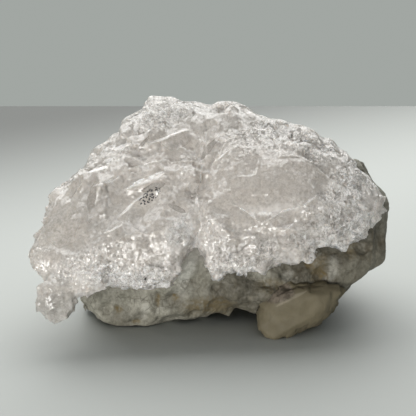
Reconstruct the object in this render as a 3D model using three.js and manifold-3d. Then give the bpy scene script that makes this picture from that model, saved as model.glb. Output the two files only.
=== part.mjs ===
// A hand specimen of kunzite: one clear, pale pink crystal mass on a lump of white feldspar,
// with a nodule of beige quartz under its right-hand end.
//
// Millimetres, +Z up. The specimen rests on the plane z = 0, with its origin under the middle
// of its bounding box. Its broad face looks towards -Y and leans back.
//
// Every stone is drawn in the face frame: x to the right, z up the broad face, and y into the
// rock. A group then leans the stones back by LEAN and lifts them by FACE_HEIGHT.

import * as THREE from "three";
import { mergeVertices } from "three/addons/utils/BufferGeometryUtils.js";
import Module from "manifold-3d";

const wasm = await Module();
wasm.setup();

// ---------------------------------------------------------------- driving dimensions

const LEAN = THREE.MathUtils.degToRad(20);
const FACE_HEIGHT = 30;
const SEAT_GAP = 0.3; // between a stone and the hollow that it sits in
const BEYOND = 200; // reaches past any stone

const PALE_PINK = { color: 0xeedfdb, roughness: 0.12, metalness: 0 };
const GRANULAR_WHITE = { color: 0xd8d6cc, roughness: 0.85, metalness: 0 };
const CLOUDY_BEIGE = { color: 0xb8a48e, roughness: 0.4, metalness: 0 };

// The plane that the specimen rests on, in the face frame: a point of it, and the way down.
const GROUND = [0, 0, -FACE_HEIGHT / Math.cos(LEAN)];
const DOWN = [0, Math.sin(LEAN), -Math.cos(LEAN)];

// ---------------------------------------------------------------- broken and grainy surfaces

// A repeatable random number from 0 to 1 for the lattice point i, j, k.
function chance(i, j, k, seed) {
  const wave = Math.sin(i * 127.1 + j * 311.7 + k * 74.7 + seed * 19.19) * 43758.5453;
  return wave - Math.floor(wave);
}

// The nearest of the scattered cell centres round a point: its lattice place, and the way from it.
function nearestCell(point, size, seed) {
  const q = point.clone().divideScalar(size);
  const [i0, j0, k0] = q.toArray().map(Math.floor);
  let found = null;
  for (let i = i0 - 1; i <= i0 + 1; i++)
    for (let j = j0 - 1; j <= j0 + 1; j++)
      for (let k = k0 - 1; k <= k0 + 1; k++) {
        const away = new THREE.Vector3(
          q.x - i - chance(i, j, k, seed),
          q.y - j - chance(i, j, k, seed + 1),
          q.z - k - chance(i, j, k, seed + 2),
        );
        if (!found || away.lengthSq() < found.away.lengthSq()) found = { i, j, k, away };
      }
  return found;
}

// Flat chips at chance tilts, as on broken crystal: a height from about -1 to 1.
function chips(point, size, seed) {
  const { i, j, k, away } = nearestCell(point, size, seed);
  const tilt = new THREE.Vector3(
    chance(i, j, k, seed + 3) - 0.5,
    chance(i, j, k, seed + 4) - 0.5,
    chance(i, j, k, seed + 5) - 0.5,
  );
  return 2 * away.dot(tilt) + chance(i, j, k, seed + 6) - 0.5;
}

// Rounded grains with creases between them, as on sugary feldspar: a height from about -1 to 1.
function grains(point, size, seed) {
  const { i, j, k, away } = nearestCell(point, size, seed);
  return 1.1 - 1.9 * away.length() + 0.5 * (chance(i, j, k, seed + 3) - 0.5);
}

// The height of a skin at a point: the sum of its layers of chips or grains.
function skinHeight(layers, point) {
  const heights = layers.map(({ pattern, height, size, seed }) => height * pattern(point, size, seed));
  return heights.reduce((sum, height) => sum + height, 0);
}

// A smooth rise from 0 at the edge of an ellipse in the face to 1 at its centre.
function swell(x, z, [cx, cz], [rx, rz]) {
  return Math.max(0, 1 - ((x - cx) / rx) ** 2 - ((z - cz) / rz) ** 2);
}

// ---------------------------------------------------------------- solids

// A geometry with positions alone, and its shared vertices merged.
function weld(geometry) {
  geometry.deleteAttribute("normal");
  geometry.deleteAttribute("uv");
  return mergeVertices(geometry, 1e-4);
}

function toSolid(geometry) {
  const welded = weld(geometry);
  return new wasm.Manifold(
    new wasm.Mesh({
      numProp: 3,
      vertProperties: new Float32Array(welded.attributes.position.array),
      triVerts: new Uint32Array(welded.index.array),
    }),
  );
}

function toMesh(name, solid, look) {
  const { vertProperties, triVerts } = solid.getMesh();
  const geometry = new THREE.BufferGeometry();
  geometry.setAttribute("position", new THREE.BufferAttribute(vertProperties, 3));
  geometry.setIndex(new THREE.BufferAttribute(triVerts, 1));
  geometry.computeVertexNormals();
  const mesh = new THREE.Mesh(geometry, new THREE.MeshStandardMaterial(look));
  mesh.name = name;
  return mesh;
}

// How far an outline lies from its centre along an angle.
function reach(outline, [cx, cz], angle) {
  const dx = Math.cos(angle);
  const dz = Math.sin(angle);
  let furthest = 0;
  outline.forEach(([ax, az], n) => {
    const [bx, bz] = outline[(n + 1) % outline.length];
    const ex = bx - ax;
    const ez = bz - az;
    const slant = dx * ez - dz * ex;
    if (Math.abs(slant) < 1e-12) return;
    const out = ((ax - cx) * ez - (az - cz) * ex) / slant;
    const along = ((ax - cx) * dz - (az - cz) * dx) / slant;
    if (out > 0 && along >= 0 && along <= 1) furthest = Math.max(furthest, out);
  });
  return furthest;
}

// A closed lump that fills an outline in the face frame. The points of a ball are spread over
// the outline, and moved in y from the lump's middle surface by its thickness there. Its skin
// is then roughened along its normals by relief(point), and moved out by grow.
function lump({ outline, centre, middle, front, back, blunt, detail, relief }, grow = 0) {
  const ball = weld(new THREE.IcosahedronGeometry(1, detail));
  const at = ball.attributes.position;
  const point = new THREE.Vector3();
  const normal = new THREE.Vector3();
  for (let n = 0; n < at.count; n++) {
    point.fromBufferAttribute(at, n);
    const wide = Math.hypot(point.x, point.z);
    const full = (wide ** blunt + Math.abs(point.y) ** blunt) ** (1 / blunt);
    const angle = Math.atan2(point.z, point.x);
    const out = (reach(outline, centre, angle) * wide) / full;
    const x = centre[0] + out * Math.cos(angle);
    const z = centre[1] + out * Math.sin(angle);
    const thick = point.y < 0 ? front(x, z) : back(x, z);
    at.setXYZ(n, x, middle(x, z) + (thick * point.y) / full, z);
  }
  ball.computeVertexNormals();
  const normals = ball.attributes.normal;
  for (let n = 0; n < at.count; n++) {
    point.fromBufferAttribute(at, n);
    normal.fromBufferAttribute(normals, n);
    point.addScaledVector(normal, relief(point) + grow);
    at.setXYZ(n, ...point.toArray());
  }
  return toSolid(ball);
}

const KNOB_SKIN = [{ pattern: chips, height: 0.25, size: 3, seed: 51 }];

// A small blunt knob, with a radius for each axis, at a point of the face frame.
function knob({ at, radii }, grow = 0) {
  const ball = weld(new THREE.IcosahedronGeometry(1, 1));
  const places = ball.attributes.position;
  const point = new THREE.Vector3();
  for (let n = 0; n < places.count; n++) {
    point.fromBufferAttribute(places, n);
    const [x, y, z] = point.toArray().map((share, axis) => at[axis] + share * radii[axis]);
    const bulge = 1 + skinHeight(KNOB_SKIN, new THREE.Vector3(x, y, z));
    const [dx, dy, dz] = point.toArray().map((share, axis) => share * (radii[axis] * bulge + grow));
    places.setXYZ(n, at[0] + dx, at[1] + dy, at[2] + dz);
  }
  return toSolid(ball);
}

// The point of a lump's front skin, before its relief, at x, z in the face.
function skinPoint({ outline, centre, middle, front, blunt }, x, z) {
  const dx = x - centre[0];
  const dz = z - centre[1];
  const share = Math.min(1, Math.hypot(dx, dz) / reach(outline, centre, Math.atan2(dz, dx)));
  return new THREE.Vector3(x, middle(x, z) - front(x, z) * (1 - share ** blunt) ** (1 / blunt), z);
}

// Cuts a flat ledge into a lump's front skin. The ledge runs along an angle in the face, with
// the middle of its foot at x, z. It is `depth` deep there, and comes out over its width.
function chisel(solid, form, { x, z, angle, length, width, depth }) {
  const point = skinPoint(form, x, z);
  const right = skinPoint(form, x + 1, z).sub(point);
  const up = skinPoint(form, x, z + 1).sub(point);
  const out = right.clone().cross(up).normalize();
  const turn = THREE.MathUtils.degToRad(angle);
  const along = right.multiplyScalar(Math.cos(turn)).addScaledVector(up, Math.sin(turn));
  along.addScaledVector(out, -along.dot(out)).normalize();

  const block = new THREE.BoxGeometry(length, width, BEYOND);
  block.translate(0, width / 2, BEYOND / 2);
  block.rotateX(Math.asin(depth / width));
  block.applyMatrix4(new THREE.Matrix4().makeBasis(along, out.clone().cross(along), out));
  block.translate(...point.addScaledVector(out, -depth).toArray());
  return solid.subtract(toSolid(block));
}

// Cleaves a solid along a plane: what lies beyond the point, on the side faced, goes.
function cleave(solid, point, facing) {
  const block = new THREE.BoxGeometry(BEYOND, BEYOND, BEYOND);
  block.translate(0, 0, BEYOND / 2);
  const turn = new THREE.Quaternion().setFromUnitVectors(
    new THREE.Vector3(0, 0, 1),
    new THREE.Vector3(...facing).normalize(),
  );
  block.applyQuaternion(turn);
  block.translate(...point);
  return solid.subtract(toSolid(block));
}

// ---------------------------------------------------------------- the kunzite

// The rim of the crystal mass, clockwise from its left tip. The lower rim is broken into
// teeth, with a deep notch where its two lobes meet.
const CRYSTAL_RIM = [
  [-44.5, -12], [-43.9, -8.6], [-41.2, -4.7], [-40.6, 1.2], [-37.4, 5.2], [-31.6, 11.6],
  [-27.8, 16.6], [-22.8, 20.9], [-19.8, 25.3], [-18.1, 28.4], [-15.7, 29.8], [-12.2, 29.8],
  [-6.9, 28.4], [1.6, 27.8], [4.2, 28.4], [7.4, 28.1], [12.6, 24.2], [17.1, 22.8],
  [20.2, 22.8], [26.6, 19.8], [29.8, 19.8], [32.8, 17.7], [35.3, 12.9], [41.3, 8.2],
  [44.7, 2.8], [43.2, -2.2], [40.7, -5.2], [37, -8.6], [35.5, -8.1], [32.9, -10.6],
  [29.5, -9.6], [26.3, -9.8], [25, -11.8], [23, -12.5], [16.6, -12.7], [13.8, -15.8],
  [3.9, -15.8], [2.4, -16.7], [0, -14.8], [-2.2, -9.8], [-3.9, -8.6], [-5.4, -11.8],
  [-7.1, -14.4], [-7.5, -16.7], [-8.9, -18.8], [-12.8, -20], [-23.1, -19.7], [-30.3, -20.4],
  [-32.1, -22], [-38.9, -22.4], [-41.9, -17.2],
];
const LOWER_RIM = { y: -10, z: -17 };
const FACE_SLOPE = 0.466; // how fast the mass runs back into the rock, up the face
const LEFT_LOBE = { centre: [-20, 1], radii: [34, 34], height: 7.5 };
const RIGHT_LOBE = { centre: [19, 3], radii: [34, 30], height: 8.5 };

const CRYSTAL_SKIN = [
  { pattern: chips, height: 2, size: 9, seed: 3 },
  { pattern: chips, height: 0.8, size: 5, seed: 11 },
];

// How rough the broken skin is: less so towards the rim, and smooth on the left shoulder, on
// the broad face of the right lobe and in the notch.
function crystalRoughness(x, z) {
  const inland = 0.5 + 0.5 * swell(x, z, [-1, 4], [46, 28]);
  const shoulder = swell(x, z, [-37, -3], [10, 14]);
  const broadFace = swell(x, z, [12, 7], [16, 12]);
  const notch = swell(x, z, [-3, -11], [11, 11]);
  return inland * (1 - 0.8 * Math.max(shoulder, broadFace)) * (1 - notch);
}

const crystalForm = {
  outline: CRYSTAL_RIM,
  centre: [-1, 4.5],
  middle: (x, z) => LOWER_RIM.y + FACE_SLOPE * (z - LOWER_RIM.z),
  front: (x, z) => {
    const [left, right] = [LEFT_LOBE, RIGHT_LOBE].map((l) => l.height * swell(x, z, l.centre, l.radii));
    return 2 + Math.max(left, right);
  },
  back: (x, z) => 7 + 4 * swell(x, z, [0, 4], [48, 30]),
  blunt: 2.6,
  detail: 12,
  relief: (point) => crystalRoughness(point.x, point.z) * skinHeight(CRYSTAL_SKIN, point) - 0.2,
};

// The stack of parallel ledges across the upper left, from the top down.
const LEDGES = [
  { x: -17.5, z: 19, length: 13 },
  { x: -25, z: 12, length: 12 },
  { x: -15.5, z: 12, length: 9 },
  { x: -17.5, z: 6.5, length: 15 },
  { x: -21, z: -0.5, length: 16 },
].map((place) => ({ angle: 27, width: 4.2, depth: 1.3, ...place }));

const LEFT_SHOULDER = { x: -36, z: -10, angle: -12, length: 13, width: 17, depth: 1.6 };
const LONG_LEDGE = { x: 14, z: -1, angle: 3, length: 26, width: 14, depth: 1.5 };
const FACE_UNDER_TOP = { x: -7, z: 12, angle: -6, length: 11, width: 9, depth: 1.2 };
const LEAF_BY_SEAM = { x: 2, z: 13, angle: 62, length: 10, width: 4.5, depth: 1.4 };
const TOP_RIGHT_SLOPE = { x: 29, z: 9, angle: -32, length: 15, width: 6, depth: 1.2 };
const RIGHT_END = { x: 33, z: -4, angle: 30, length: 14, width: 6, depth: 1.1 };
const BESIDE_NOTCH = { x: 8, z: -10, angle: 40, length: 9, width: 6, depth: 1.2 };
const OVER_LEFT_RIM = { x: -18, z: -13, angle: -8, length: 16, width: 7, depth: 1.2 };
const CRYSTAL_CUTS = [
  ...LEDGES, LEFT_SHOULDER, LONG_LEDGE, FACE_UNDER_TOP, LEAF_BY_SEAM, TOP_RIGHT_SLOPE,
  RIGHT_END, BESIDE_NOTCH, OVER_LEFT_RIM,
];

// The nub that hangs from the lower left of the rim, and the chunk behind the left shoulder.
const KNOBS = [
  { at: [-37.3, -12, -21.8], radii: [5, 4.4, 5.8] },
  { at: [-36.2, 1, 1.6], radii: [4.8, 4, 4.4] },
];

function crystalSolid() {
  let solid = lump(crystalForm);
  for (const cut of CRYSTAL_CUTS) solid = chisel(solid, crystalForm, cut);
  for (const bump of KNOBS) solid = solid.add(knob(bump));
  return solid;
}

// The hollow that the crystal leaves in the rock. It is opened up behind the root of the
// notch, where the crystal's skin is folded too sharply for an even gap.
const NOTCH_ROOT = { at: [-2.6, 6.8, -2.6], radii: [2.8, 4, 4.4] };

function crystalSeat() {
  let solid = lump(crystalForm, SEAT_GAP).add(knob(NOTCH_ROOT));
  for (const bump of KNOBS) solid = solid.add(knob(bump, 2 * SEAT_GAP));
  return solid;
}

// ---------------------------------------------------------------- the feldspar

const MATRIX_RIM = [
  [-33.8, -26.7], [-33.5, -20.2], [-34.1, -8.4], [-30.9, 4.7], [-27, 13.9], [-17.8, 22],
  [-11.3, 24], [7.1, 23], [18.9, 19], [32, 14.5], [39.3, 11.8], [42.7, 9.4],
  [45.3, 6.5], [47.4, 1.3], [45.8, -5], [47.2, -7.6], [47.4, -10.2], [46.6, -12.8],
  [42.2, -16], [40.1, -18.6], [35.6, -21.7], [29.3, -24.6], [12.3, -26.2], [7.3, -26.2],
  [3.5, -27.2], [-2.9, -29.2], [-9.4, -29.6], [-12.6, -31.4], [-18.3, -31.7], [-24.9, -30.9],
  [-31.2, -28.6],
];
const MATRIX_SKIN = [
  { pattern: grains, height: 2, size: 10, seed: 21 },
  { pattern: chips, height: 1.6, size: 7, seed: 31 },
];
const matrixRelief = (point) => skinHeight(MATRIX_SKIN, point) - 0.6;

// The shelf that carries the crystal, and the heavier body behind it that reaches the ground.
const shelfForm = {
  outline: MATRIX_RIM,
  centre: [5, -5],
  middle: (x, z) => 8 + 0.4 * Math.max(0, z),
  front: () => 11,
  back: () => 20,
  blunt: 3,
  detail: 9,
  relief: matrixRelief,
};
const bodyForm = {
  outline: [
    [-30, -32], [-32, -14], [-26, 2], [-12, 12], [8, 13], [27, 7], [36, -4], [34, -18],
    [22, -30], [0, -38],
  ],
  centre: [2, -11],
  middle: (x, z) => 24 + 0.25 * z,
  front: (x) => THREE.MathUtils.clamp(7.4 - 0.55 * x, 3, 14),
  back: () => 15,
  blunt: 3.4,
  detail: 7,
  relief: matrixRelief,
};

// Pits in the shelf's front, under the crystal's rim: x, z, radius.
const PITS = [
  [-27, -26, 2.4], [-22, -23.5, 1.7], [-16.5, -27.5, 2.2], [-10, -24, 2], [-3.5, -27.5, 1.8],
  [2, -20.5, 2.2], [20, -17, 2.4], [31, -15, 2], [39.5, -10, 2.4],
];

// The planes that the back of the rock broke along: a point, and the way that each faces.
const BREAKS = [
  [[4, 38.5, -12], [0.12, 1, 0.3]],
  [[-31, 25, -12], [-1, 0.6, 0.25]],
  [[37, 27, -8], [0.9, 0.8, 0.2]],
  [[6, 27, 18], [0.25, 0.5, 1]],
  [[-18, 30, 11], [-0.5, 0.8, 0.7]],
];

function matrixSolid() {
  let solid = lump(shelfForm).add(lump(bodyForm));
  for (const [x, z, radius] of PITS) {
    const { y } = skinPoint(shelfForm, x, z);
    solid = solid.subtract(knob({ at: [x, y, z], radii: [radius, radius, 0.8 * radius] }));
  }
  for (const [point, facing] of BREAKS) solid = cleave(solid, point, facing);
  return solid;
}

// ---------------------------------------------------------------- the quartz

const QUARTZ_SKIN = [{ pattern: chips, height: 0.6, size: 7, seed: 41 }];
const quartzForm = {
  outline: [
    [13.8, -23.2], [17.4, -21.5], [22.7, -20.4], [28.9, -20.4], [35, -21.7], [32.2, -24.3],
    [30.9, -26.8], [28.6, -29.1], [25.3, -30.4], [22.7, -31.7], [19.7, -33.4], [16.6, -34],
    [14, -32.4], [12.8, -30.4], [12, -27.6],
  ],
  centre: [22, -27],
  middle: () => 1,
  front: () => 7,
  back: () => 10,
  blunt: 2.6,
  detail: 5,
  relief: (point) => skinHeight(QUARTZ_SKIN, point),
};

// ---------------------------------------------------------------- assembly

const crystal = crystalSolid();
const quartz = cleave(lump(quartzForm), GROUND, DOWN);
const matrix = cleave(matrixSolid(), GROUND, DOWN)
  .subtract(crystalSeat())
  .subtract(lump(quartzForm, SEAT_GAP));

const stones = new THREE.Group();
stones.rotation.x = -LEAN;
stones.position.z = FACE_HEIGHT;
stones.add(
  toMesh("kunzite_crystal", crystal, PALE_PINK),
  toMesh("feldspar_matrix", matrix, GRANULAR_WHITE),
  toMesh("quartz_nodule", quartz, CLOUDY_BEIGE),
);

const specimen = new THREE.Group();
specimen.add(stones);
specimen.updateMatrixWorld(true);

// The origin goes under the middle of the specimen's bounding box.
const middle = new THREE.Box3().setFromObject(specimen, true).getCenter(new THREE.Vector3());
stones.position.x -= middle.x;
stones.position.y -= middle.y;

export default specimen;
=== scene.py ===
"""A hand specimen of kunzite on feldspar: the looks of the three stones, the light and the camera.

Places on the stones are given in the face frame, in millimetres: x to the right across the
broad face, z up it, and y into the rock. The camera looks straight along y. A zone of a stone
is a list of ellipses in the face, each with its centre, its radii, and a share from 0 to 1 where
a comment doesn't say otherwise.
"""

import functools
import itertools
import math
from types import SimpleNamespace

import bpy
import numpy as np
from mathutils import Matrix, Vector


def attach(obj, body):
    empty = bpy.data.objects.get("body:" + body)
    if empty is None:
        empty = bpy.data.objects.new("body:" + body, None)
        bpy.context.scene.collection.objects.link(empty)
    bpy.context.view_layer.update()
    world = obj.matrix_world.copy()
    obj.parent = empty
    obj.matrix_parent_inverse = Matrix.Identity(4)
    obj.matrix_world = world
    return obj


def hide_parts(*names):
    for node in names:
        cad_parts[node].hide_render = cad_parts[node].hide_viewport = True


MM = 0.001

LEAN = math.radians(20)  # how far the broad face leans back
FACE_CENTRE = Vector((-1.5, -5.9, 30.0))  # its middle in the world, in millimetres
FACE_X = np.array((1.0, 0.0, 0.0))
FACE_Y = np.array((0.0, math.cos(LEAN), -math.sin(LEAN)))
FACE_Z = np.array((0.0, math.sin(LEAN), math.cos(LEAN)))


# ---------------------------------------------------------------- heights over a surface

LATTICE = 32  # cells along each side of a repeating block of random numbers
SCOOP_SPREAD = 0.3  # how much deeper one hollow may lie than the next, in cells


def smoothstep(start, end, value):
    """0 at start and before it, 1 at end and past it, with a smooth run between the two."""
    t = np.clip((value - start) / (end - start), 0, 1)
    return t * t * (3 - 2 * t)


def swell(x, z, centre, radii):
    """1 at the centre of an ellipse in the face, falling smoothly to 0 at its edge."""
    out = ((x - centre[0]) / radii[0]) ** 2 + ((z - centre[1]) / radii[1]) ** 2
    return 1 - smoothstep(0, 1, out)


def zone(x, z, ellipses):
    """The largest share that any of the ellipses has at each place in the face."""
    total = np.zeros_like(x)
    for centre, radii, share in ellipses:
        total = np.maximum(total, share * swell(x, z, centre, radii))
    return total


def strongest(masks):
    """The largest share that any of the masks has at each point."""
    return np.maximum.reduce(list(masks))


def wave(along, height, length, start=0.0):
    """A sine wave along a coordinate. Its length is that of one radian."""
    return height * np.sin(along / length + start)


def wobble(x, z):
    """The face's own x and z, shaken a little, so that what is drawn on it isn't ruled."""
    right = x + wave(z, height=0.4, length=1.7) + wave(z, height=0.15, length=0.6)
    up = z + wave(x, height=0.4, length=1.9, start=1)
    return right, up


def wander(x, z):
    """Places shaken by a millimetre or two, so that the edges of zones are ragged."""
    right = wave(z, height=1.8, length=3.1, start=1) + wave(z, height=0.9, length=1.3)
    up = wave(x, height=1.6, length=3.7) + wave(x, height=0.8, length=1.5, start=2)
    return x + right, z + up


def neighbours(points, size, seed):
    """Yields, for each of the 27 cells round every point, the way from the cell's scattered
    centre to the point, in cells, and the cell's four random numbers."""
    table = np.random.default_rng(seed).random((LATTICE, LATTICE, LATTICE, 7))
    scaled = points / size
    home = np.floor(scaled).astype(int)
    for step in itertools.product((-1, 0, 1), repeat=3):
        cell = home + step
        random = table[tuple((cell % LATTICE).T)]
        yield scaled - cell - random[:, :3], random[:, 3:]


def scoops(points, size, seed, tilt, bowl):
    """Hollows that meet in sharp ridges, as on broken glass: shell-shaped where bowl is large,
    and flat facets at chance angles where tilt is. In millimetres, 0 on average."""
    lowest = np.full(len(points), np.inf)
    for away, random in neighbours(points, size, seed):
        tipping = tilt * (away * (random[:, :3] - 0.5)).sum(axis=1)
        hollow = bowl * (away**2).sum(axis=1) + tipping + SCOOP_SPREAD * random[:, 3]
        lowest = np.minimum(lowest, hollow)
    return size * (lowest - lowest.mean())


# ---------------------------------------------------------------- dense copies of the stones

LEAST_WEAR = 0.02  # the share below which a vertex isn't smoothed at all
# How much of a surface's normal points to the camera, down the face or straight up where it
# starts to count as facing that way, and where it counts in full.
FACING_CAMERA = (0.2, 0.6)
FACING_DOWN = (0.2, 0.7)
FACING_UP = (0.3, 0.95)
EDGE_ON = (0.75, 0.3)  # the same for a surface that is seen edge-on


def apply_modifiers(piece, name):
    """Replaces a piece's mesh by the one that its modifiers make."""
    bpy.context.view_layer.update()
    evaluated = piece.evaluated_get(bpy.context.evaluated_depsgraph_get())
    made = bpy.data.meshes.new_from_object(evaluated)
    used = piece.data
    piece.modifiers.clear()
    piece.data = made
    bpy.data.meshes.remove(used)
    made.name = name


def dense_copy(node, name, voxel):
    """A new object with a node's shape in an even mesh that is fine enough to carve."""
    copy = bpy.data.objects.new(name, node.data.copy())
    bpy.context.scene.collection.objects.link(copy)
    remesh = copy.modifiers.new("remesh", "REMESH")
    remesh.mode = "VOXEL"
    remesh.voxel_size = voxel * MM
    apply_modifiers(copy, name)
    return copy


def wear(piece, share, rounds):
    """Smooths the mesh where share is 1 and leaves it sharp where share is 0."""
    group = piece.vertex_groups.new(name="worn")
    for index in np.flatnonzero(share > LEAST_WEAR):
        group.add([int(index)], float(share[index]), "REPLACE")
    smooth = piece.modifiers.new("wear", "SMOOTH")
    smooth.factor = 0.5
    smooth.iterations = rounds
    smooth.vertex_group = group.name
    apply_modifiers(piece, piece.name)
    piece.vertex_groups.clear()


def thin_out(piece, hidden, kept):
    """Leaves only a share of the triangles where a piece is hidden, and all of them elsewhere."""
    group = piece.vertex_groups.new(name="hidden")
    group.add(np.flatnonzero(hidden).tolist(), 1.0, "REPLACE")
    decimate = piece.modifiers.new("thin", "DECIMATE")
    decimate.ratio = 1 - (1 - kept) * hidden.mean()
    decimate.vertex_group = group.name
    apply_modifiers(piece, piece.name)
    piece.vertex_groups.clear()
    piece.data.shade_smooth()


def vertex_array(piece, attribute):
    """One of the vertices' attributes that have three numbers, with a row for each vertex."""
    mesh = piece.data
    values = np.zeros(len(mesh.vertices) * 3, np.float32)
    mesh.vertices.foreach_get(attribute, values)
    return values.reshape(-1, 3).astype(float)


def vertex_points(piece):
    """The vertices' world places in millimetres."""
    return vertex_array(piece, "co") / MM


def move_vertices_to(piece, points):
    """Puts the vertices at world points in millimetres."""
    piece.data.vertices.foreach_set("co", (points * MM).astype(np.float32).ravel())


def move_along_normals(piece, heights):
    """Moves each vertex out by its height in millimetres, and none below the ground."""
    mesh = piece.data
    places = vertex_array(piece, "co")
    places += vertex_array(piece, "normal") * heights[:, None] * MM
    places[:, 2] = np.maximum(places[:, 2], 0)
    mesh.vertices.foreach_set("co", places.astype(np.float32).ravel())
    mesh.update()
    mesh.shade_smooth()


def face_frame(points):
    """World points in millimetres, seen in the face frame: x, y and z."""
    relative = points - np.array(FACE_CENTRE)
    return relative @ FACE_X, relative @ FACE_Y, relative @ FACE_Z


def edge_on(piece):
    """1 where the surface is seen edge-on from in front of the face, and 0 where it faces it."""
    facing = np.abs(vertex_array(piece, "normal") @ FACE_Y)
    return smoothstep(*EDGE_ON, facing)


def paint(piece, name, values):
    """Keeps a value from 0 to 1 for each vertex, for the material to read by name."""
    layer = piece.data.attributes.new(name, "FLOAT", "POINT")
    layer.data.foreach_set("value", np.clip(values, 0, 1).astype(np.float32))


def give_material(piece, material):
    piece.data.materials.clear()
    piece.data.materials.append(material)


# ---------------------------------------------------------------- the crystal

CRYSTAL_VOXEL = 0.32
CRYSTAL_WEAR = 300  # rounds of smoothing
HIDDEN_CRYSTAL = 0.9  # the share of contact from which its skin can't be seen
HIDDEN_CRYSTAL_KEPT = 0.1  # the share of the triangles that are kept there

# Where each of these starts and where it is in full, in millimetres behind the face.
CRYSTAL_FRONT = (12, 2)
CRYSTAL_WEAR_DEPTHS = (4, 0)
CONTACT_DEPTHS = (2, 6)
RIM_DEPTHS = (2, -2)

# Where the face is smooth and clear.
SMOOTH_FACETS = [
    ((-36, -1), (9, 17), 0.9),
    ((11, 6), (20, 13), 0.62),
    ((-8, 16), (9, 6), 0.8),
    ((-17, 2), (9, 8), 0.4),
]
# Where it is broken into small facets, all along the rim and down the seam.
SHATTERED = [
    ((-18, -16.5), (15, 5), 1.0),
    ((-7.6, -7.1), (5.5, 5), 0.6),
    ((-10, 24), (12, 6), 0.9),
    ((-26, 15), (5, 8), 0.6),
    ((20, 17), (20, 7), 0.9),
    ((36.5, 6), (10, 8), 1.0),
    ((8.3, -12.7), (11, 4.5), 0.75),
    ((26, -9), (11, 4.5), 0.8),
    ((33, -3), (12, 8), 0.8),
    ((-31, -14), (7, 7), 0.6),
    ((0, -2), (4, 14), 0.5),
]
# Where it is broken into long thin slivers, on the left lobe.
SPLINTERED = [
    ((-20, 10), (14, 13), 1.0),
    ((-8, -3), (8, 9), 0.6),
]
# Where the breaks are painted white, partly as crushed white and partly as painted glow: at the
# lower rim, the notch, the top and the right end.
WHITENED = [
    ((-18, -17.5), (14, 3.4), 1.0),
    ((-7.4, -8.2), (6.5, 6), 1.0),
    ((-11, 25), (9, 3.4), 0.4),
    ((36, 7), (9, 3.4), 0.7),
    ((9, -15.5), (9, 1.5), 0.5),
    ((18, 16), (8, 3), 0.4),
    ((39, 1), (7, 10), 0.4),
]
# Painted light on the lit ledge under the right lobe's large facet.
PAINTED_LEDGE_LIGHT = [((15.5, -0.3), (9.5, 1.7), 0.8)]
# Painted shade: where the stone is painted grey, for the darker look through clear stone: the nub,
# the left lobe and low on the right one.
GREYED = [
    ((-36.5, -24), (7, 6), 0.7),
    ((-27.5, 0), (6, 9), 0.45),
    ((10, -12), (13, 5), 0.25),
]
# Where the solid's own ledges and creases are smoothed away.
WORN = [
    ((-35, -10), (11, 8), 1.0),
    ((-24, -12.5), (11, 4), 1.0),
    ((10, -1), (14, 4), 0.8),
    ((-7.5, 19.5), (7, 4), 1.0),
    ((-35, -19), (6, 4.5), 1.0),
    ((18, 13), (10, 3), 0.7),
]
# Where the outline is moved a little: centre, radii and the way in millimetres.
NUDGES = [
    ((-39, -21), (9, 9), (1.8, 0.9)),
    ((-13, 30), (12, 8), (0.0, -0.9)),
    ((5, 29), (9, 8), (0.0, -0.8)),
    ((-20.5, 27.5), (7, 5), (1.6, -0.3)),
    ((-27, 19.8), (6, 5), (0.9, -0.6)),
    ((-19.5, 20.5), (4, 4), (-0.9, 0.1)),
    ((33, 19.4), (6, 6), (-0.8, -1.3)),
]
# Saw teeth along the lower right rim: the point's place, the slope's width and the drop.
TEETH = [
    ((33.6, -9.6), 3.6, 1.4),
    ((25.8, -10.8), 3.0, 1.3),
    ((22.0, -12.2), 2.6, 1.0),
    ((13.9, -15.6), 2.8, 1.0),
    ((2.6, -16.8), 2.6, 0.8),
]
TOOTH_BACK = 0.6  # the width of a tooth's steep side
TOOTH_ROOTS = (3, 1)  # how far above the rim a tooth starts, and where it is in full

# Cleavage steps: from, to, width of the lit riser, and how far it stands out. Each riser is also
# painted bright, a painted highlight.
CLEAVAGE_STEPS = [
    ((-20, 4.6), (-11, 9.2), 1.4, 1.1),
    ((-22.2, -1.8), (-14.7, 3.0), 0.5, 0.4),
    ((-16, 10.4), (-12.7, 12.0), 0.6, 0.4),
    ((-26, 11.6), (-20, 14.2), 0.9, 0.5),
    ((-24, 15.2), (-19.4, 16.4), 0.9, 0.5),
    ((-30, 8.5), (-25, 10.5), 0.7, 0.4),
    ((-15.8, 16.0), (-9.5, 19.2), 0.7, 0.4),
    ((-10.5, 18.8), (-5.5, 19.8), 0.5, 0.3),
    ((-28.5, 4.8), (-22, 8.4), 0.6, 0.5),
    ((-24.5, -5.8), (-21, -3.6), 0.35, 0.4),
]
STEP_FALL = 3  # how much longer than it is high the slope under a step is

# Thin bright lines where breaks meet, raised a little and painted bright as painted glints: from,
# to, width.
BRIGHT_EDGES = [
    ((-0.8, 21), (-2.4, 4), 0.5),
    ((-2.4, 4), (-2.1, -8.5), 0.6),
    ((6.3, 0.5), (12.4, -3.1), 0.35),
    ((12.4, -3.1), (22.8, 0.5), 0.35),
    ((22.8, 0.5), (27.4, 3.6), 0.4),
    ((18.2, -6.2), (20.8, -3.6), 0.4),
    ((37.4, -6.2), (42.6, 1.7), 0.5),
    ((11.1, -10.4), (16.1, -12.3), 0.4),
    ((2.8, 12.0), (5.8, 14.6), 0.5),
]
BRIGHT_EDGE_HEIGHT = 0.15
STREAK_EDGE = (1.3, 0.6)  # how far out a streak ends and where it is in full, in half widths
LEAST_LENS = 0.05  # how far a lens narrows to its ends, so that its width can be divided by

# Facets painted grey, as painted shade for the darker view into the stone: from, to, width.
GREY_FACETS = [
    ((-1.8, 12), (2.8, 19.2), 2.0),
    ((-17.2, 14.0), (-15.4, 18.0), 1.1),
    ((-9.4, 1.2), (-5.8, -1.6), 1.8),
    ((-16, 3.6), (-10.5, 6.2), 2.2),
    ((-29, -4), (-27, 9), 2.6),
]

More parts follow.
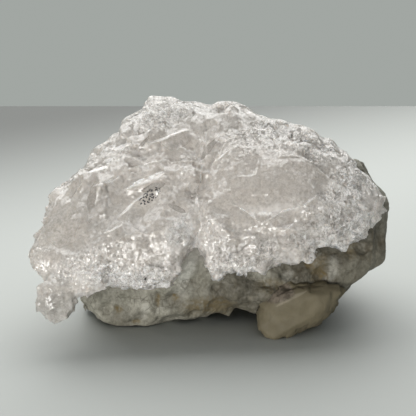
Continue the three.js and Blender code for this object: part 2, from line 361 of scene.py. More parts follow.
SEAM = ((-0.6, 22), (-2.2, -9), 1.6)
SEAM_DEPTH = 0.3
BLACK_SPECKS = ((-16.6, 0.9), (-11.7, 4.6), 2.2)
SPLINTER_TURN = math.radians(27)
# How much longer than wide the splinters are carved, and coloured.
SPLINTER_DRAW = 4
WHITE_SPLINTER_DRAW = 7

# Patterns of breaks for scoops, and how deep each one cuts, as a factor of its own relief.
WIDE_BREAKS = {"size": 5.0, "seed": 1, "tilt": 2.2, "bowl": 0.3}
WIDE_DEPTH = 0.06
SPLINTERS = {"size": 1.6, "seed": 4, "tilt": 2.2, "bowl": 0.3}
SPLINTER_DEPTH = 0.06
SMALL_BREAKS = {"size": 2.2, "seed": 2, "tilt": 2.2, "bowl": 0.3}
SMALL_DEPTH = 0.08
FINE_BREAKS = {"size": 1.1, "seed": 3, "tilt": 1.6, "bowl": 0.5}
FINE_DEPTH = 0.09
WIDE_LOSS = 0.8  # how much of their depth the wide breaks lose where the face is smooth
SMALL_LOSS = 0.9  # the same for the small and the fine ones
SMALL_LEFT = 0.3  # the share of it that those two keep where nothing is shattered
# Chips along the outline: depth and pattern.
RIM_CHIPS = [
    (0.2, {"size": 2.8, "seed": 5, "tilt": 2.6, "bowl": 0.2}),
    (0.25, {"size": 1.3, "seed": 6, "tilt": 2.6, "bowl": 0.2}),
]
BACK_SHATTERED = 0.5  # how shattered the sides and the back are
CONTACT_LIFT = 0.7  # how far the hidden side is pushed out into its seat
# Painted glow: how white the rim is painted where it faces down, in place of light through its
# edge.
PAINTED_RIM_GLOW = 0.8  # how white the rim is where it faces down
GREY_FACET_SHARE = 0.6  # how grey a grey facet is
# Painted shade: how much greyer the stone is painted where it faces up, to dim the light on its
# tops.
PAINTED_TOP_SHADE = 0.45  # how grey the stone looks where it faces up


def along_and_below(x, z, start, end):
    """Where points lie on the line from start to end, from 0 to 1, and how far below it."""
    way = np.subtract(end, start)
    length = np.hypot(*way)
    way = way / length
    along = ((x - start[0]) * way[0] + (z - start[1]) * way[1]) / length
    below = (x - start[0]) * way[1] - (z - start[1]) * way[0]
    return along, below


def taper(along):
    """1 in the middle of a line and 0 at its ends."""
    return np.sqrt(np.clip(4 * along * (1 - along), 0, 1))


def lens_width(along, width):
    """How wide a lens is at places along its line, for its width in the middle."""
    return width * np.maximum(taper(along), LEAST_LENS)


def streak(x, z, start, end, width):
    """1 along the middle of a lens from start to end, and 0 outside it."""
    along, below = along_and_below(x, z, start, end)
    out = np.abs(below) / lens_width(along, 0.5 * width)
    return smoothstep(*STREAK_EDGE, out) * (taper(along) > 0)


def cleavage_step(x, z, start, end, width, height):
    """A lens-shaped riser that faces up, and a long slope below it back to the old surface."""
    along, below = along_and_below(x, z, start, end)
    rise = smoothstep(0, 1, below / lens_width(along, width))
    fall = np.exp(-np.maximum(below - width, 0) / (STEP_FALL * height))
    return height * taper(along) * rise * fall


def drawn_out(points, factor):
    """Points squeezed along the crystal's splinters, so that a pattern on them runs long."""
    way = math.cos(SPLINTER_TURN) * FACE_X + math.sin(SPLINTER_TURN) * FACE_Z
    return points - np.outer(points @ way, way) * (1 - 1 / factor)


def nudged(points):
    """The crystal's points with its outline moved and its saw teeth cut."""
    x, y, z = face_frame(points)
    for centre, radii, (right, up) in NUDGES:
        share = swell(x, z, centre, radii)
        points = points + np.outer(share, right * FACE_X + up * FACE_Z)
    for (tip, rim), slope, drop in TEETH:
        share = np.clip(np.minimum(1 + (x - tip) / slope, 1 - (x - tip) / TOOTH_BACK), 0, 1)
        share *= smoothstep(rim + TOOTH_ROOTS[0], rim + TOOTH_ROOTS[1], z)
        points = points - np.outer(share, drop * FACE_Z)
    return points


def worn_and_nudged(crystal):
    """Wears and nudges the crystal, and gives the points that it has then."""
    x, y, z = face_frame(vertex_points(crystal))
    wear(crystal, zone(x, z, WORN) * smoothstep(*CRYSTAL_WEAR_DEPTHS, y), CRYSTAL_WEAR)
    points = nudged(vertex_points(crystal))
    move_vertices_to(crystal, points)
    return points


def crystal_marks(points):
    """What the crystal's skin is like at each point, in shares from 0 to 1."""
    x, y, z = face_frame(points)
    front = smoothstep(*CRYSTAL_FRONT, y)
    drawn = wobble(x, z)
    ragged = wander(x, z)
    risers = [(start, end, width) for start, end, width, height in CLEAVAGE_STEPS]
    # Painted highlights on the lit risers and along the bright edge lines.
    bright = front * strongest(streak(*drawn, *line) for line in risers + BRIGHT_EDGES)
    # Painted shade on the grey facets, for the darker view into the stone.
    grey = front * strongest(streak(*drawn, *facet) for facet in GREY_FACETS)
    smooth = strongest((front * zone(*ragged, SMOOTH_FACETS), bright, grey))
    broken = np.maximum(zone(*ragged, SHATTERED), BACK_SHATTERED * (1 - front))
    return SimpleNamespace(
        front=front,
        contact=smoothstep(*CONTACT_DEPTHS, y),
        bright=bright,
        grey=grey,
        smooth=smooth,
        shattered=broken * (1 - smooth),
        splintered=zone(x, z, SPLINTERED) * (1 - smooth),
        whitened=np.maximum(zone(*ragged, WHITENED), zone(*drawn, PAINTED_LEDGE_LIGHT)),
        greyed=zone(x, z, GREYED),
        specks=front * streak(x, z, *BLACK_SPECKS),
    )


def crystal_breaks(points, marks):
    """The heights of the breaks all over the crystal's skin, which are lower where it is smooth
    and higher where it is shattered."""
    shaken = points + wave(points[:, [1, 2, 0]], height=1.2, length=3.1)
    splinters = drawn_out(points, SPLINTER_DRAW)
    wide = 1 - WIDE_LOSS * marks.smooth
    small = 1 - SMALL_LOSS * marks.smooth
    small *= SMALL_LEFT + (1 - SMALL_LEFT) * marks.shattered
    depths = WIDE_DEPTH * wide * scoops(shaken, **WIDE_BREAKS)
    depths += SPLINTER_DEPTH * marks.splintered * scoops(splinters, **SPLINTERS)
    depths += SMALL_DEPTH * small * scoops(shaken, **SMALL_BREAKS)
    depths += FINE_DEPTH * small * scoops(points, **FINE_BREAKS)
    return -depths


def carve_crystal(crystal, points, marks):
    """Cuts the breaks, steps, bright edges, seam and rim chips, and fills the seat."""
    x, y, z = face_frame(points)
    drawn = wobble(x, z)
    heights = crystal_breaks(points, marks)
    heights += marks.front * sum(cleavage_step(*drawn, *step) for step in CLEAVAGE_STEPS)
    edges = strongest(streak(*drawn, *edge) for edge in BRIGHT_EDGES)
    heights += marks.front * BRIGHT_EDGE_HEIGHT * edges
    heights -= marks.front * SEAM_DEPTH * streak(*drawn, *SEAM)
    outline = marks.front * edge_on(crystal)
    for depth, chips in RIM_CHIPS:
        heights -= depth * outline * scoops(points, **chips)
    heights = heights * (1 - marks.contact) + CONTACT_LIFT * marks.contact
    move_along_normals(crystal, heights)


def paint_crystal(crystal, points, marks):
    """Keeps the marks for the material, with a painted glow on the rim below and painted shade
    where the stone faces up.
    """
    x, y, z = face_frame(points)
    normals = vertex_array(crystal, "normal")
    # Painted glow on the rim, where it faces down into shade.
    rim = smoothstep(*FACING_DOWN, -normals @ FACE_Z) * smoothstep(*RIM_DEPTHS, y)
    rim *= 1 - marks.greyed
    # Painted shade where the stone faces up.
    painted_top_shade = PAINTED_TOP_SHADE * smoothstep(*FACING_UP, normals[:, 2])
    # Painted light: the lit risers and edges, the rim's glow, and the whitened breaks, which are
    # part crushed white and part painted glow.
    bright = strongest((marks.bright, PAINTED_RIM_GLOW * rim, marks.front * marks.whitened))
    # Painted shade: the grey facets, the tops and the clear places are painted greyer.
    grey = strongest((GREY_FACET_SHARE * marks.grey, painted_top_shade, marks.greyed))
    paint(crystal, "smooth", marks.smooth)
    paint(crystal, "shattered", marks.shattered)
    paint(crystal, "splintered", marks.splintered * marks.front)
    paint(crystal, "bright", bright)
    paint(crystal, "grey", grey)
    paint(crystal, "specks", marks.specks)


def dress_crystal(node):
    """The kunzite, carved and painted, in place of its plain solid."""
    crystal = dense_copy(node, "clear_kunzite", CRYSTAL_VOXEL)
    points = worn_and_nudged(crystal)
    marks = crystal_marks(points)
    carve_crystal(crystal, points, marks)
    paint_crystal(crystal, points, marks)
    thin_out(crystal, marks.contact > HIDDEN_CRYSTAL, HIDDEN_CRYSTAL_KEPT)
    give_material(crystal, crystal_material())
    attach(crystal, "root")
    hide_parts("kunzite_crystal")
    return crystal


# ---------------------------------------------------------------- the matrix

MATRIX_VOXEL = 0.42
MATRIX_WEAR = 40  # rounds of smoothing
HIDDEN_MATRIX = 0.5  # the share of the seat from which its skin can't be seen
HIDDEN_MATRIX_KEPT = 0.2  # the share of the triangles that are kept there

# Where each of these starts and where it is in full, in millimetres behind the face.
MATRIX_FRONT = (8, 0)
MATRIX_WEAR_DEPTHS = (12, 6)

OCHRE_STAINS = [
    ((-23, -26), (1.7, 1.5), 1.0),
    ((-18.5, -29.5), (1.6, 1.0), 1.0),
    ((-12.8, -23.5), (0.9, 2.2), 0.9),
    ((-8.5, -23), (1.4, 1.0), 1.0),
    ((0.5, -25.5), (9.0, 4.0), 0.75),
    ((25.5, -14.0), (1.6, 1.8), 0.9),
    ((29.3, -17.5), (1.4, 2.8), 1.0),
    ((16, -19.5), (5.0, 2.4), 0.5),
    ((28, -15.5), (3.2, 6.5), 0.6),
    ((36, -9.5), (3, 4.5), 0.5),
]
STAIN_DEPTH = 0.5
# Shallow hollows round the stained pits: centre, radii and depth.
HOLLOWS = [
    ((-23, -25.5), (5, 4.5), 1.0),
    ((-12.5, -24), (2.6, 5), 0.8),
    ((-8, -23), (4, 3), 0.8),
    ((-17.5, -29), (4, 2.5), 0.8),
    ((29, -17), (2.4, 4), 1.0),
]
# Lone white blocks: a large one under the notch, and the faces of some small ones.
PALE_BLOCKS = [
    ((-5.6, -14.5), (3.0, 6.0), 1.0),
    ((-7, -20.5), (4.0, 4.0), 0.3),
    ((-16.0, -26.5), (1.6, 3.0), 0.25),
    ((31.3, -16.5), (1.6, 5.5), 0.25),
    ((20.4, -17.6), (1.8, 2.6), 0.2),
    ((27.0, -12.2), (2.4, 2.6), 0.2),
]
# Where the feldspar is darker and blockier: browner at its right-hand end, and on its underside,
# where the darkening is painted shade.
BROWN_END_AND_PAINTED_UNDERSHADE = [
    ((34, -12), (30, 18), 1.0),
    ((6, -24), (22, 12), 0.7),
    ((-20, -30), (14, 6), 0.6),
]
# Where the solid's own breaks are worn down before the grains are laid on.
WORN_MATRIX = [
    ((-16, -25), (24, 10), 1.0),
    ((1.5, -21), (6, 6), 1.0),
    ((35.5, -9), (6, 6), 1.0),
    ((29.5, -16), (6, 6), 1.0),
    ((4.5, -27), (4, 3), 1.0),
]
# Where the underside swells out to meet the nodule: centre, radii and height.
SWOLLEN = [((20, -22.3), (15, 2.8), 2.0)]
# The corner that is cut away at the lower left: centre, radii and depth.
SHAVED = [((-33.5, -28), (5, 4.5), 1.8)]
# The white feldspar that the crystal sits on and hides.
SEAT = [((0, 6), (42, 21), 1.0)]

# Patterns of grains for scoops, and how deep they cut, as a factor of their own relief.
LARGE_GRAINS = {"size": 4.4, "seed": 11, "tilt": 1.5, "bowl": 0.4}
LARGE_GRAIN_DEPTH = 0.12
DARK_SIDE_DEPTH = 0.1  # how much more the large ones cut on the dark side
SMALL_GRAINS = {"size": 1.9, "seed": 12, "tilt": 1.3, "bowl": 0.5}
SMALL_GRAIN_DEPTH = 0.2


def worn_matrix(matrix):
    """Wears the matrix, and gives the points that it has then."""
    x, y, z = face_frame(vertex_points(matrix))
    wear(matrix, zone(x, z, WORN_MATRIX) * smoothstep(*MATRIX_WEAR_DEPTHS, y), MATRIX_WEAR)
    return vertex_points(matrix)


def matrix_marks(matrix, points):
    """What the matrix's skin is like at each point, in shares from 0 to 1."""
    x, y, z = face_frame(points)
    front = smoothstep(*MATRIX_FRONT, y)
    forward = -vertex_array(matrix, "normal") @ FACE_Y
    return SimpleNamespace(
        front=front,
        stained=zone(x, z, OCHRE_STAINS) * front,
        # browner at the right-hand end, and painted shade on the underside
        dark=zone(x, z, BROWN_END_AND_PAINTED_UNDERSHADE),
        pale=front * zone(*wobble(x, z), PALE_BLOCKS),
        seat=zone(x, z, SEAT) * smoothstep(*FACING_CAMERA, forward),
    )


def carve_matrix(matrix, points, marks):
    """Lays on the grains, and cuts the hollows and the lower left corner."""
    x, y, z = face_frame(points)
    shaken = points + wave(points[:, [2, 0, 1]], height=0.8, length=2.3)
    depth = LARGE_GRAIN_DEPTH + DARK_SIDE_DEPTH * marks.dark
    heights = -depth * scoops(shaken, **LARGE_GRAINS)
    heights -= SMALL_GRAIN_DEPTH * scoops(shaken, **SMALL_GRAINS)
    swollen = zone(x, z, SWOLLEN) - zone(x, z, HOLLOWS) - STAIN_DEPTH * marks.stained
    heights += marks.front * swollen
    heights -= zone(x, z, SHAVED)
    move_along_normals(matrix, heights * (1 - marks.seat))


def dress_matrix(node):
    """The feldspar, carved and painted, in place of its plain solid."""
    matrix = dense_copy(node, "feldspar", MATRIX_VOXEL)
    points = worn_matrix(matrix)
    marks = matrix_marks(matrix, points)
    carve_matrix(matrix, points, marks)
    paint(matrix, "stained", marks.stained)
    # Browner at the right-hand end, and painted shade on the underside.
    paint(matrix, "dark", marks.dark)
    paint(matrix, "pale", marks.pale)
    paint(matrix, "seat", marks.seat)
    thin_out(matrix, marks.seat > HIDDEN_MATRIX, HIDDEN_MATRIX_KEPT)
    give_material(matrix, feldspar_material())
    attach(matrix, "root")
    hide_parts("feldspar_matrix")
    return matrix


# ---------------------------------------------------------------- the nodule

NODULE_VOXEL = 0.3
NODULE_WEAR = 6  # rounds of smoothing
# Its broad sides: the way each one faces, and its share of the way out.
NODULE_SIDES = [
    ((-0.1, -0.93, 0.3), 0.7),
    ((-0.5, -0.55, 0.67), 0.8),
    ((0.35, -0.8, -0.5), 0.8),
    ((0.75, -0.6, -0.25), 0.86),
]
SIDE_FLATNESS = 0.75  # how much of what stands out beyond a side is pressed back
NODULE_TOP = (5.0, 10.0)  # the heights between which its foot turns into its hidden top
NODULE_RISE = 1.5  # how far its top is drawn up into the feldspar
NODULE_SWELL = 0.3
NODULE_CRUST = [((14.5, -21.0), (9, 3.6), 1.0)]  # reddish grains left on it by the feldspar
# A pale beige line drawn across the nodule: from, to, width.
NODULE_PALE_LINE = ((16.6, -24.6), (24.5, -20.4), 0.7)

# Patterns of breaks for scoops, and how deep each cuts: everywhere, and more on edges or crust.
WIDE_CHIPS = {"size": 3.4, "seed": 21, "tilt": 2.2, "bowl": 0.3}
WIDE_CHIP_DEPTHS = (0.03, 0.2)
SMALL_CHIPS = {"size": 1.5, "seed": 23, "tilt": 2.4, "bowl": 0.3}
SMALL_CHIP_DEPTH = 0.25
CRUST_GRAINS = {"size": 1.8, "seed": 22, "tilt": 1.6, "bowl": 0.4}
CRUST_GRAIN_DEPTHS = (0.04, 0.3)


def flattened(points, facing, share):
    """Points pressed most of the way back to a plane that faces a given way."""
    facing = np.array(facing) / np.linalg.norm(facing)
    reach = (points - points.mean(axis=0)) @ facing
    beyond = np.maximum(reach - share * reach.max(), 0)
    return points - np.outer(SIDE_FLATNESS * beyond, facing)


def press_sides(nodule):
    """Gives the nodule its broad flat sides, draws its top up, and rounds its edges."""
    points = vertex_points(nodule)
    top = smoothstep(*NODULE_TOP, points[:, 2])
    pressed = points
    for facing, share in NODULE_SIDES:
        pressed = flattened(pressed, facing, share)
    points += (1 - top)[:, None] * (pressed - points)
    points += np.outer(top, NODULE_RISE * FACE_Z)
    move_vertices_to(nodule, points)
    wear(nodule, np.ones(len(points)), NODULE_WEAR)


def carve_nodule(nodule, points, crust):
    """Chips the nodule's edges and roughens its crust."""
    edge = edge_on(nodule)
    all_over, on_edges = WIDE_CHIP_DEPTHS
    heights = NODULE_SWELL - (all_over + on_edges * edge) * scoops(points, **WIDE_CHIPS)
    heights -= SMALL_CHIP_DEPTH * edge * scoops(points, **SMALL_CHIPS)
    all_over, on_crust = CRUST_GRAIN_DEPTHS
    heights -= (all_over + on_crust * crust) * scoops(points, **CRUST_GRAINS)
    move_along_normals(nodule, heights)


def dress_nodule(node):
    """The quartz, pressed, carved and painted, in place of its plain solid."""
    nodule = dense_copy(node, "quartz", NODULE_VOXEL)
    press_sides(nodule)
    points = vertex_points(nodule)
    x, y, z = face_frame(points)
    crust = zone(x, z, NODULE_CRUST)
    carve_nodule(nodule, points, crust)
    paint(nodule, "crust", crust)
    paint(nodule, "pale_line", streak(*wobble(x, z), *NODULE_PALE_LINE))
    give_material(nodule, quartz_material())
    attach(nodule, "root")
    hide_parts("quartz_nodule")
    return nodule


# ---------------------------------------------------------------- node trees


class Nodes:
    """A node tree, with short ways to add and join its nodes."""

    def __init__(self, tree):
        self.tree = tree

    def add(self, kind, **settings):
        node = self.tree.nodes.new(kind)
        for key, value in settings.items():
            setattr(node, key, value)
        return node

    def feed(self, socket, source):
        """Sets a socket to a number or colour, or links it to another node's output."""
        if isinstance(source, bpy.types.NodeSocket):
            self.tree.links.new(source, socket)
        elif socket.type == "RGBA":
            socket.default_value = (*source, 1)
        else:
            socket.default_value = source

    def feed_all(self, node, sources):
        """Feeds a node's inputs, which are named as Blender names them."""
        for name, source in sources.items():
            self.feed(node.inputs[name], source)

    def calculate(self, operation, a, b, clamp=False):
        node = self.add("ShaderNodeMath", operation=operation, use_clamp=clamp)
        self.feed(node.inputs[0], a)
        self.feed(node.inputs[1], b)
        return node.outputs[0]

    def product(self, *shares):
        """The shares multiplied together."""
        return functools.reduce(functools.partial(self.calculate, "MULTIPLY"), shares)

    def ramp(self, value, low, high, start=0.0, end=1.0):
        """Runs smoothly from start to end while a value runs from low to high."""
        node = self.add("ShaderNodeMapRange", interpolation_type="SMOOTHSTEP")
        self.feed_all(node, {"Value": value, "From Min": low, "From Max": high})
        self.feed_all(node, {"To Min": start, "To Max": end})
        return node.outputs["Result"]

    def run(self, share, start, end):
        """Runs smoothly from start to end while a share runs from 0 to 1."""
        return self.ramp(share, 0.0, 1.0, start, end)

    def mix(self, share, a, b):
        """A colour that runs from a to b while a share runs from 0 to 1."""
        node = self.add("ShaderNodeMix", data_type="RGBA")
        self.feed(node.inputs["Factor"], share)
        self.feed(node.inputs[6], a)
        self.feed(node.inputs[7], b)
        return node.outputs[2]

    def laid_on(self, colour, layers):
        """A colour with others laid over it in turn, each with its own share."""
        for share, layer in layers:
            colour = self.mix(share, colour, layer)
        return colour


class Shader(Nodes):
    """A material's nodes: patterns over the object, tipped normals and the surface. The sizes of
    patterns are in millimetres."""

    def __init__(self, name):
        self.material = bpy.data.materials.new(name)
        self.material.use_nodes = True
        super().__init__(self.material.node_tree)

    @functools.cached_property
    def object_place(self):
        return self.add("ShaderNodeTexCoord").outputs["Object"]

    def set_surface(self, sources):
        self.feed_all(self.tree.nodes["Principled BSDF"], sources)

    def set_volume(self, volume):
        self.feed(self.tree.nodes["Material Output"].inputs["Volume"], volume)

    def drawn_out(self, turn, factor):
        """The place on the object, squeezed along a line in the face that is turned up from x."""
        node = self.add("ShaderNodeMapping", vector_type="TEXTURE")
        self.feed(node.inputs["Vector"], self.object_place)
        self.feed(node.inputs["Rotation"], (0, -turn, 0))
        self.feed(node.inputs["Scale"], (factor, 1, 1))
        return node.outputs["Vector"]

    def noise(self, size, detail=4.0, roughness=0.6, place=None):
        node = self.add("ShaderNodeTexNoise")
        self.feed(node.inputs["Vector"], place or self.object_place)
        self.feed(node.inputs["Scale"], 1 / (size * MM))
        self.feed_all(node, {"Detail": detail, "Roughness": roughness})
        return node.outputs["Fac"]

    def cells(self, size, feature="F1", output="Distance", place=None):
        node = self.add("ShaderNodeTexVoronoi", feature=feature)
        self.feed(node.inputs["Vector"], place or self.object_place)
        self.feed(node.inputs["Scale"], 1 / (size * MM))
        return node.outputs[output]

    def chance(self, size, place=None):
        """A random value for each cell of a size."""
        return self.cells(size, output="Color", place=place)

    def cell_edges(self, size, width, share, place=None):
        """A share along the edges between cells, which is gone a width away, in cells."""
        edge = self.cells(size, "DISTANCE_TO_EDGE", place=place)
        return self.ramp(edge, 0.0, width, share, 0.0)

    def painted(self, name):
        """A value that was painted on the mesh."""
        return self.add("ShaderNodeAttribute", attribute_name=name).outputs["Fac"]

    def vector(self, operation, a, b=None):
        """A sum with vectors. To SCALE, b is a number."""
        node = self.add("ShaderNodeVectorMath", operation=operation)
        self.feed(node.inputs[0], a)
        if b is not None:
            self.feed(node.inputs["Scale" if operation == "SCALE" else 1], b)
        return node.outputs[0]

    def broken_normal(self, sizes, tilt):
        """The surface's normal, tipped differently in each small cell of several sizes, as on
        a surface of tiny flat breaks."""
        normal = self.add("ShaderNodeNewGeometry").outputs["Normal"]
        for size in sizes:
            tipping = self.vector("SUBTRACT", self.chance(size), (0.5, 0.5, 0.5))
            normal = self.vector("ADD", normal, self.vector("SCALE", tipping, tilt))
        return self.vector("NORMALIZE", normal)

    def bump(self, height, strength, depth, under=None):
        node = self.add("ShaderNodeBump")
        self.feed_all(node, {"Height": height, "Strength": strength, "Distance": depth * MM})
        if under is not None:
            self.feed(node.inputs["Normal"], under)
        return node.outputs["Normal"]


# ---------------------------------------------------------------- the crystal's material

MILKY_DULL = (0.58, 0.537, 0.48)
MILKY_PALE = (0.715, 0.664, 0.60)
FROSTED = (0.95, 0.92, 0.89)
# White for crushed breaks, also used for painted light and painted sparkle.
CRUSHED_AND_PAINTED_LIGHT_WHITE = (1.0, 0.97, 0.935)
CRACK_WHITE = (1.0, 0.98, 0.96)
FACET_GREY = (0.50, 0.46, 0.42)
SPECKLE_GREY = (0.38, 0.35, 0.315)
# The grey of the painted shade on grey facets, tops and clear places.
PAINTED_SHADE_GREY = (0.34, 0.32, 0.29)
GAP_GREY = (0.30, 0.278, 0.25)
SPECK_BLACK = (0.02, 0.02, 0.025)

SPODUMENE_IOR = 1.66
GLINT_SIZES = (1.6, 0.7, 0.4)  # the sizes of the facets that glint, one on another
BODY_TINT = (0.93, 0.84, 0.81)  # what light that has gone through the stone looks like
BODY_DENSITY = 20


def milky_stone(shader, smooth, shattered):
    """The crystal's body: clouds of greyish pink, with grains and small facets in them."""
    clouds = shader.ramp(shader.noise(size=6.0), 0.35, 0.7)
    grain = shader.ramp(shader.noise(size=0.6, detail=3.0), 0.35, 0.65)
    layers = [
        (shader.run(shattered, 0.1, 0.4), FROSTED),
        (shader.product(grain, shader.run(smooth, 0.35, 0.15)), FROSTED),
        (shader.ramp(shader.chance(size=1.6), 0.3, 0.7, 0.0, 0.3), FACET_GREY),
        (shader.ramp(shader.chance(size=0.6), 0.35, 0.65, 0.0, 0.5), SPECKLE_GREY),
    ]
    return shader.laid_on(shader.mix(clouds, MILKY_DULL, MILKY_PALE), layers)


def white_breaks(shader, smooth, shattered):
    """The layers of splinters, cracks and frosty facets, each a share and a colour."""
    along_splinters = shader.drawn_out(SPLINTER_TURN, WHITE_SPLINTER_DRAW)
    splinter = shader.noise(size=0.7, detail=3.0, place=along_splinters)
    splinter = shader.ramp(splinter, 0.48, 0.65, 0.0, 0.4)
    crack = shader.cell_edges(size=1.7, width=0.07, share=0.7)
    cracked = shader.ramp(shader.noise(size=5.0), 0.45, 0.6)
    rough = shader.ramp(smooth, 0.2, 0.6, 1.0, 0.1)
    frost = shader.ramp(shader.chance(size=0.55), 0.3, 0.45)
    return [
        (shader.product(splinter, shader.painted("splintered")), CRUSHED_AND_PAINTED_LIGHT_WHITE),
        (shader.product(crack, cracked, rough), CRACK_WHITE),
        (shader.product(frost, shader.run(shattered, 0.15, 1.0)), CRUSHED_AND_PAINTED_LIGHT_WHITE),
    ]


def drawn_marks(shader, shattered):
    """The layers of drawn facets, edges and specks, and the gaps and painted sparkle between
    facets. The grey facets are painted shade and the bright edges painted light.
    """
    uneven = shader.ramp(shader.noise(size=1.2, detail=3.0), 0.35, 0.6, 0.4, 1.0)
    gap = shader.cell_edges(size=0.65, width=0.14, share=0.85)
    # Painted sparkle: white dots that stand in for glints.
    painted_sparkle = shader.ramp(shader.chance(size=0.3), 0.58, 0.66)
    dots = shader.calculate("LESS_THAN", shader.cells(size=0.5), 0.46)
    return [
        # Painted shade on the grey facets, the tops and the clear places.
        (shader.painted("grey"), PAINTED_SHADE_GREY),
        # Painted light on the lit risers, edges and rim, with the crushed white of the whitened
        # breaks.
        (shader.product(shader.painted("bright"), uneven), CRUSHED_AND_PAINTED_LIGHT_WHITE),
        (shader.product(gap, shattered), GAP_GREY),
        (shader.product(painted_sparkle, shader.run(shattered, 0.2, 0.7)), CRUSHED_AND_PAINTED_LIGHT_WHITE),
        (shader.product(dots, shader.ramp(shader.painted("specks"), 0.05, 0.3)), SPECK_BLACK),
    ]


def crystal_material():
    """Pale pink spodumene: milky and glassy, with glinting breaks and a cluster of black specks."""
    shader = Shader("kunzite")
    smooth = shader.painted("smooth")
    shattered = shader.painted("shattered")
    body = milky_stone(shader, smooth, shattered)
    layers = white_breaks(shader, smooth, shattered) + drawn_marks(shader, shattered)
    broken = shader.run(smooth, 1.0, 0.2)
    broken = shader.product(broken, shader.run(shattered, 0.3, 1.1))
    glint = shader.broken_normal(GLINT_SIZES, broken)
    shader.set_surface({
        "Base Color": shader.laid_on(body, layers),
        "Roughness": shader.run(smooth, 0.4, 0.24),
        "Normal": glint,
        "IOR": SPODUMENE_IOR,
        "Transmission Weight": 0.5,
        "Subsurface Weight": 1.0,
        "Subsurface Scale": 1.5 * MM,
        "Subsurface Radius": (1.0, 0.95, 0.9),
        "Coat Weight": 0.45,
        "Coat Roughness": 0.1,
        "Coat IOR": SPODUMENE_IOR,
        "Coat Normal": glint,
    })
    absorb = shader.add("ShaderNodeVolumeAbsorption")
    shader.feed_all(absorb, {"Color": BODY_TINT, "Density": BODY_DENSITY})
    shader.set_volume(absorb.outputs["Volume"])
    return shader.material


# ---------------------------------------------------------------- the feldspar's material

# The darkest and the palest grains where the stone is pale, and where it is dull.
PALE_FELDSPAR = ((0.135, 0.13, 0.10), (0.28, 0.27, 0.225))
# The dull grains also paint the shade on the underside.
DULL_FELDSPAR = ((0.04, 0.035, 0.023), (0.092, 0.083, 0.06))
WHITE_BLOCK = (0.58, 0.575, 0.52)
CREVICE_BROWN = (0.05, 0.045, 0.03)
BLOCK_FACET = (0.15, 0.14, 0.105)
JOINT_BROWN = (0.055, 0.042, 0.022)
OCHRE = (0.1, 0.072, 0.027)
SEAT_WHITE = (0.9, 0.88, 0.84)

BLOCK_SIZE = 3.2
BLOCK_DRAW = 3  # how much longer than wide the blocks are
BLOCK_TURN = math.radians(80)  # they stand nearly upright


def sugary_stone(shader, grain, dark):
    """The feldspar's body, from pale and sugary to dull and brown. The dull brown is also painted
    shade on its underside.
    """
    uneven = shader.ramp(shader.noise(size=12.0), 0.4, 0.7, -0.3, 0.3)
    dull = shader.calculate("ADD", dark, uneven, clamp=True)
    return shader.mix(dull, shader.mix(grain, *PALE_FELDSPAR), shader.mix(grain, *DULL_FELDSPAR))


def feldspar_layers(shader, grain, dark, upright):
    """What lies on the feldspar's body: blocks, crevices, joints, stains and the hidden seat."""
    block = shader.product(shader.painted("pale"), shader.run(grain, 0.5, 1.0))
    crevice = shader.cell_edges(size=2.2, width=0.08, share=0.6)
    creviced = shader.ramp(shader.noise(size=3.0), 0.45, 0.6)
    facet = shader.ramp(shader.chance(size=BLOCK_SIZE, place=upright), 0.4, 0.6, 0.0, 0.4)
    joint = shader.cell_edges(size=BLOCK_SIZE, width=0.12, share=0.5, place=upright)
    jointed = shader.ramp(shader.noise(size=4.0), 0.4, 0.6)
    stain = shader.ramp(shader.noise(size=1.3, detail=5.0), 0.35, 0.55, 0.1, 1.0)
    return [
        (block, WHITE_BLOCK),
        (shader.product(crevice, creviced), CREVICE_BROWN),
        (shader.product(facet, dark), BLOCK_FACET),
        (shader.product(joint, dark, jointed), JOINT_BROWN),
        (shader.product(stain, shader.painted("stained")), OCHRE),
        (shader.painted("seat"), SEAT_WHITE),
    ]


def feldspar_material():
    """Sugary white feldspar, greyer and browner to the right, with ochre stains in its pits."""
    shader = Shader("feldspar")
    dark = shader.painted("dark")
    upright = shader.drawn_out(BLOCK_TURN, BLOCK_DRAW)
    drawn = shader.ramp(shader.noise(size=1.8, detail=6.0, place=upright), 0.35, 0.65, 0.0, 0.45)
    grain = shader.ramp(shader.noise(size=0.9, detail=6.0, roughness=0.7), 0.38, 0.62, 0.0, 0.55)
    grain = shader.calculate("ADD", grain, drawn)
    stone = sugary_stone(shader, grain, dark)
    coarse = shader.bump(shader.cells(size=1.0), strength=0.6, depth=0.3)
    shader.set_surface({
        "Base Color": shader.laid_on(stone, feldspar_layers(shader, grain, dark, upright)),
        "Roughness": shader.ramp(shader.noise(size=0.8), 0.3, 0.7, 0.55, 0.9),
        "Normal": shader.bump(shader.noise(size=0.5), strength=0.6, depth=0.15, under=coarse),
    })
    return shader.material


# ---------------------------------------------------------------- the quartz's material

# The darkest and the palest of the clouds, and of the crust's grains.
WAXY_QUARTZ = ((0.135, 0.113, 0.064), (0.18, 0.153, 0.092))
REDDISH_CRUST = ((0.09, 0.072, 0.048), (0.20, 0.165, 0.125))
PALE_LINE_BEIGE = (0.38, 0.34, 0.26)


